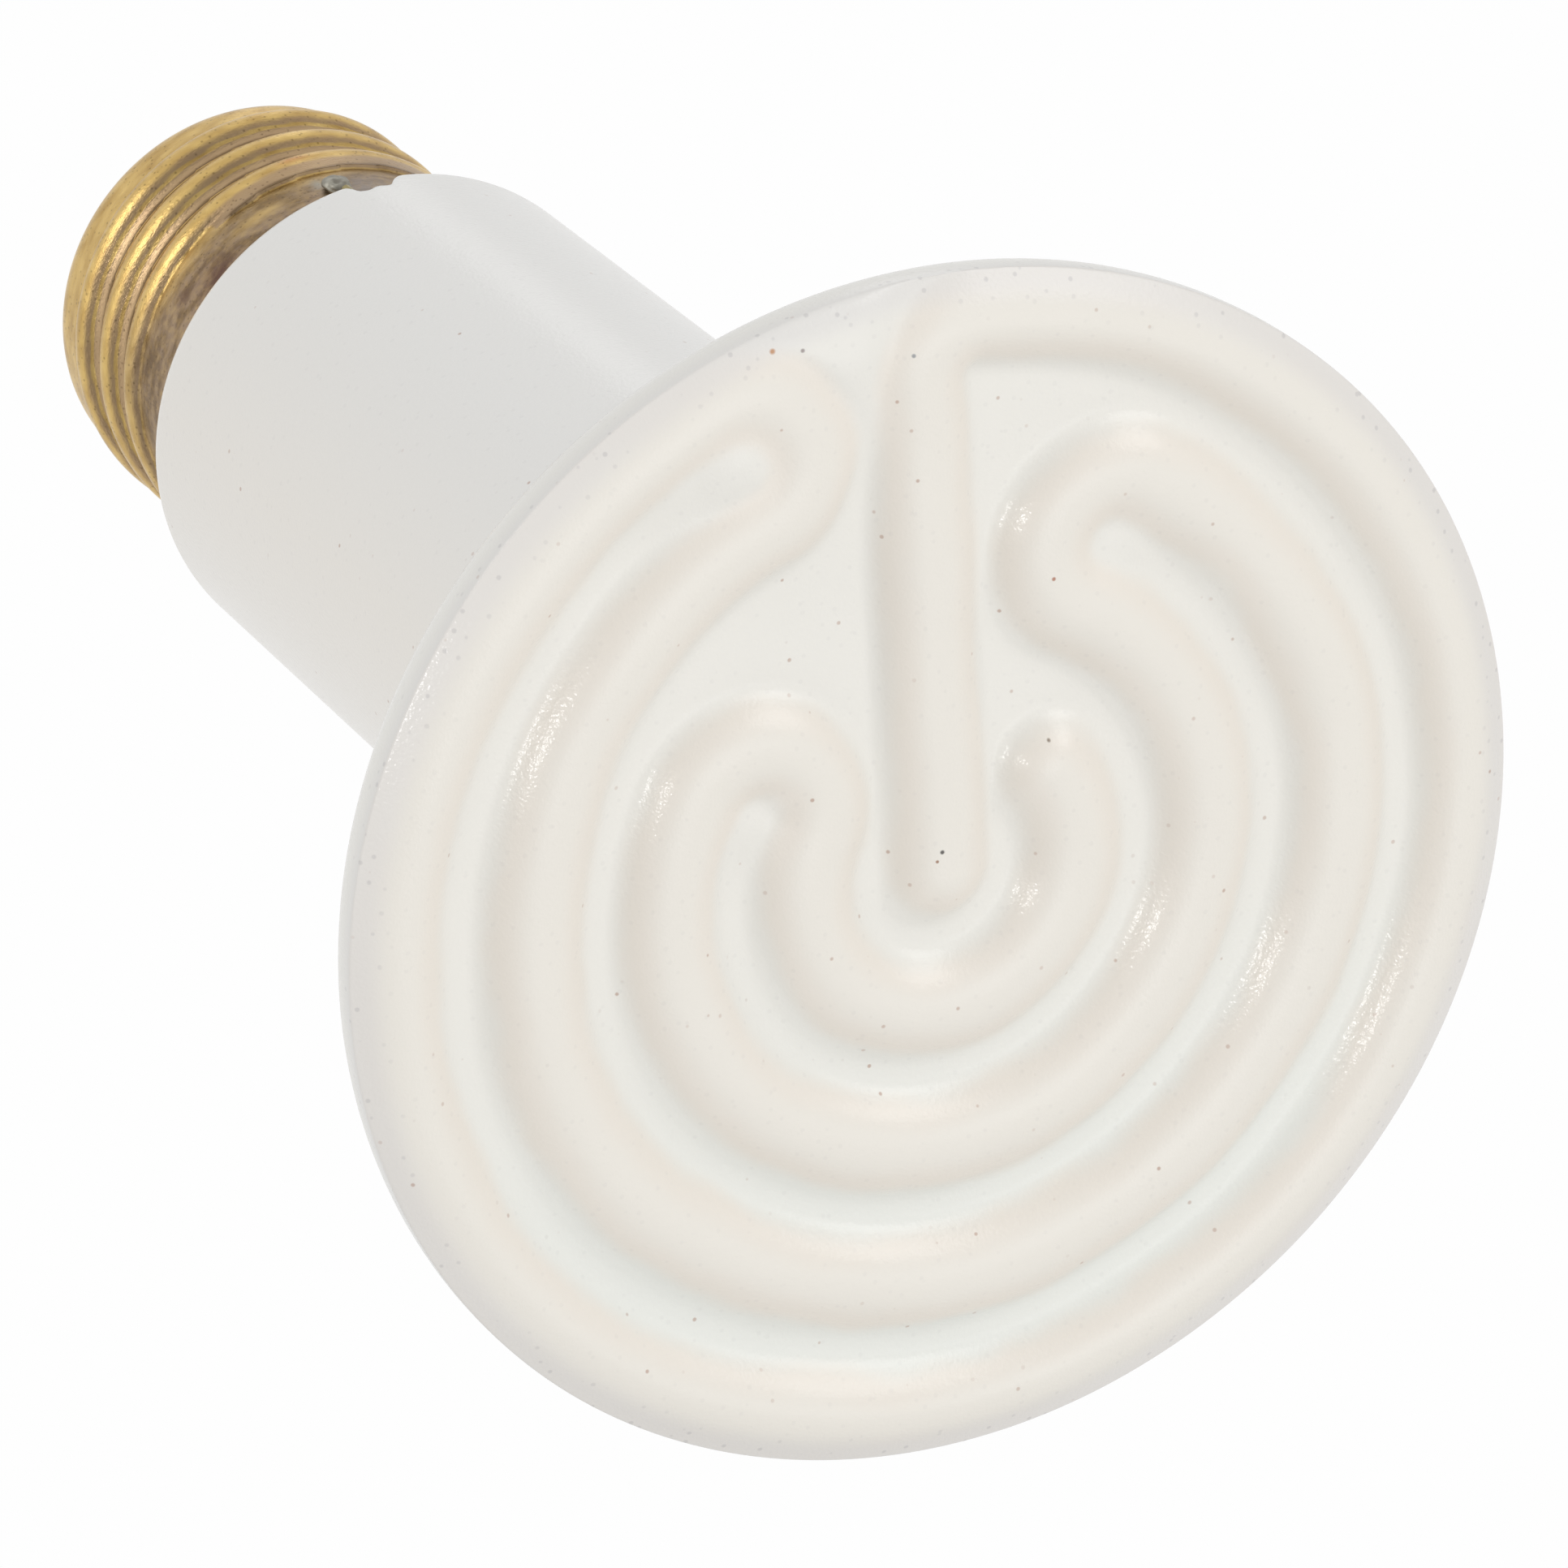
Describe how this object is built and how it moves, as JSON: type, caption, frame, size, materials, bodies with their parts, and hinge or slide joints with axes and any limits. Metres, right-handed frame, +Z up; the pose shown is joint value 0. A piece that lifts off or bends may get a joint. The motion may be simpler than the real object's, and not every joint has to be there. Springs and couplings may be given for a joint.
{
  "type": "ceramic heat emitter",
  "caption": "Screw-base ceramic heat emitter with a flared disc, a serpentine ridge on its face, a straight neck and a threaded brass base.",
  "frame": {"origin": "centre of the ridged face, in the plane of the ridge's crest, which is the plane the object stands on", "axes": "+Z up the axis from the ridged face to the screw base's tip; +Y along the straight ridge, which is also the side of the lead notch"},
  "size_m": [0.075, 0.075, 0.1051],
  "materials": {
    "glazed_ceramic": "satin off-white glaze with fine specks",
    "brass_shell": "satin rolled sheet, heat tinted near the neck",
    "cement": "matte",
    "black_glass": "glossy, opaque",
    "contact_brass": "satin",
    "solder": "dull grey",
    "resistance_wire": "oxidised",
    "nickel_wire": "drawn wire",
    "fibre_sleeve": "woven glass fibre"
  },
  "bodies": {
    "root": {"ceramic_body": "glazed_ceramic", "screw_shell": "brass_shell", "base_cement": "cement", "tip_insulator": "black_glass", "centre_contact": "contact_brass", "centre_solder": "solder", "side_solder": "solder", "heating_coil": "resistance_wire", "centre_lead": "nickel_wire", "side_lead": "nickel_wire", "centre_lead_sleeve": "fibre_sleeve", "side_lead_sleeve": "fibre_sleeve"}
  },
  "joints": []
}
